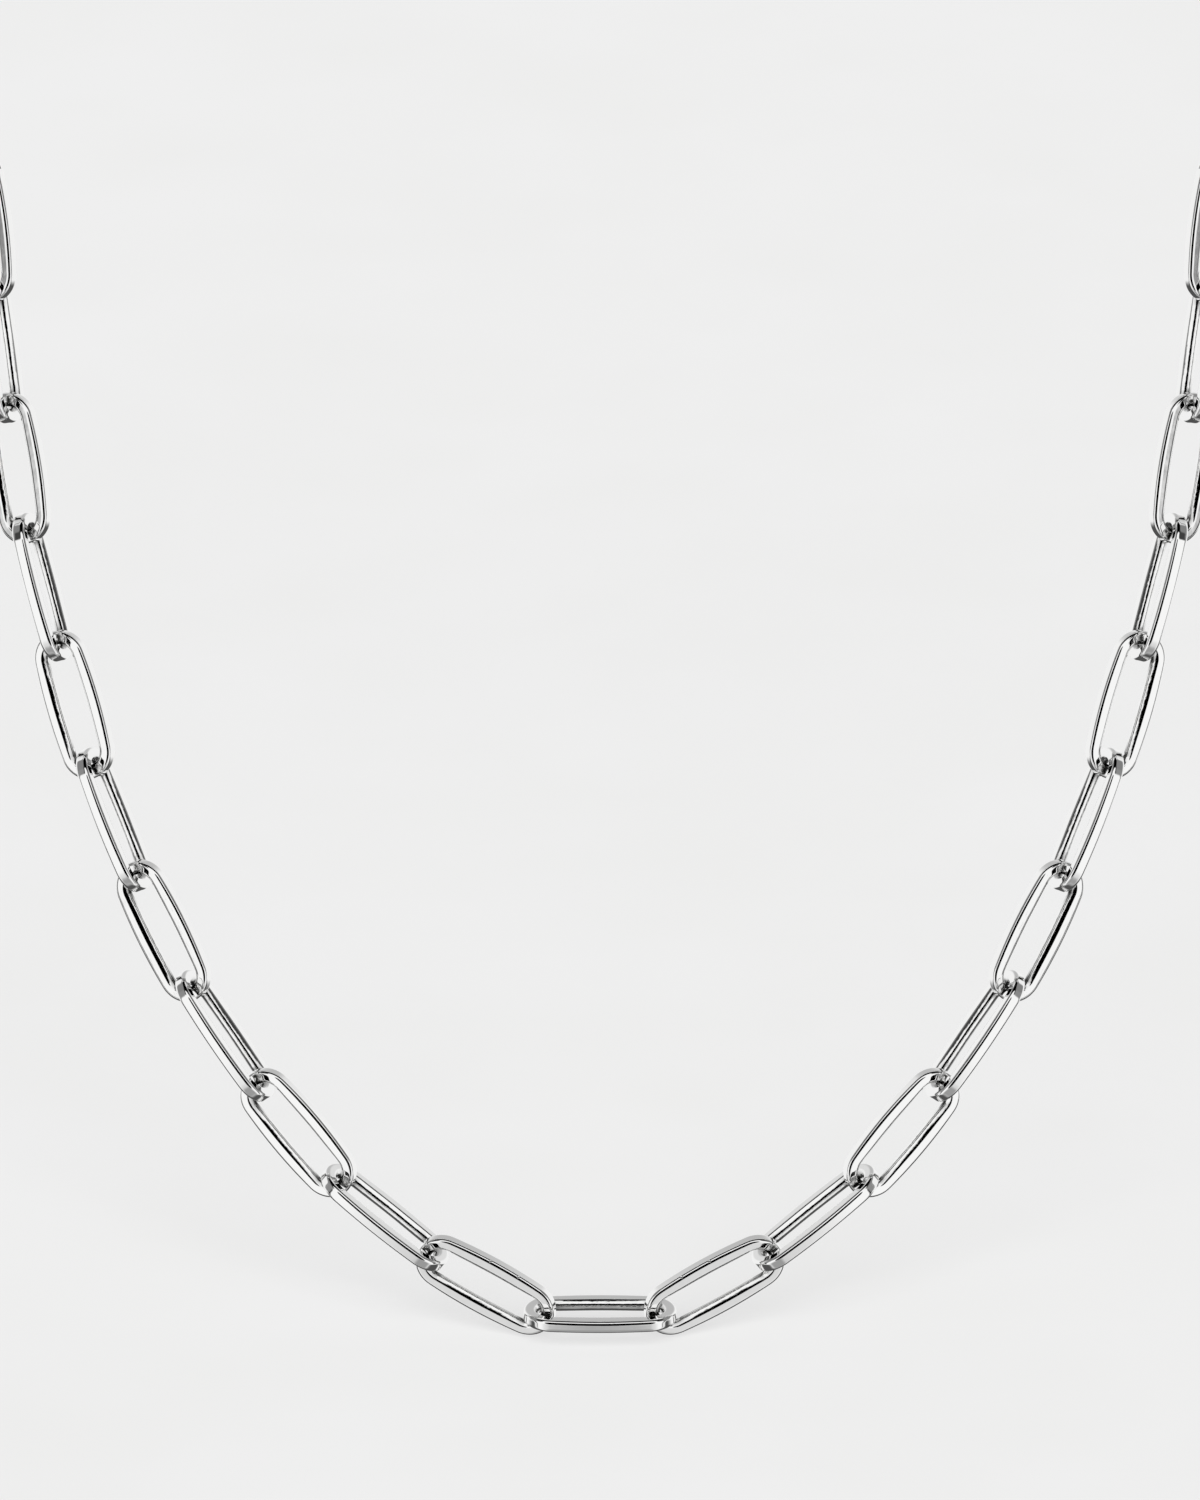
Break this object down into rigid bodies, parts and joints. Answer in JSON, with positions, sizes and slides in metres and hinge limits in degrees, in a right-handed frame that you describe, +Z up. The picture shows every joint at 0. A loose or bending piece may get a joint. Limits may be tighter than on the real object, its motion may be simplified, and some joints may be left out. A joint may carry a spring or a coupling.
{
  "type": "paperclip chain necklace",
  "caption": "Neck chain of long oval paperclip links in flat-faced polished wire, turned by turns to face and edge, closed at the nape by a plain clasp.",
  "frame": {"origin": "middle of the neck opening, halfway from front to back, at the height of the stretch that rests on the nape", "axes": "+Z up the wearer's neck, +X to the right of someone facing the wearer, -Y out of the chest towards that viewer"},
  "size_m": [0.1254, 0.0926, 0.127],
  "materials": {
    "silver": "mirror-polished silver, near white, with fine handling scratches"
  },
  "bodies": {
    "root": {"front_link": "silver", "clasp": "silver", "right_link_01": "silver", "right_link_02": "silver", "right_link_03": "silver", "right_link_04": "silver", "right_link_05": "silver", "right_link_06": "silver", "right_link_07": "silver", "right_link_08": "silver", "right_link_09": "silver", "right_link_10": "silver", "right_link_11": "silver", "right_link_12": "silver", "right_link_13": "silver", "right_link_14": "silver", "right_link_15": "silver", "right_link_16": "silver", "right_link_17": "silver", "right_link_18": "silver", "right_link_19": "silver", "left_link_01": "silver", "left_link_02": "silver", "left_link_03": "silver", "left_link_04": "silver", "left_link_05": "silver", "left_link_06": "silver", "left_link_07": "silver", "left_link_08": "silver", "left_link_09": "silver", "left_link_10": "silver", "left_link_11": "silver", "left_link_12": "silver", "left_link_13": "silver", "left_link_14": "silver", "left_link_15": "silver", "left_link_16": "silver", "left_link_17": "silver", "left_link_18": "silver", "left_link_19": "silver"}
  },
  "joints": []
}
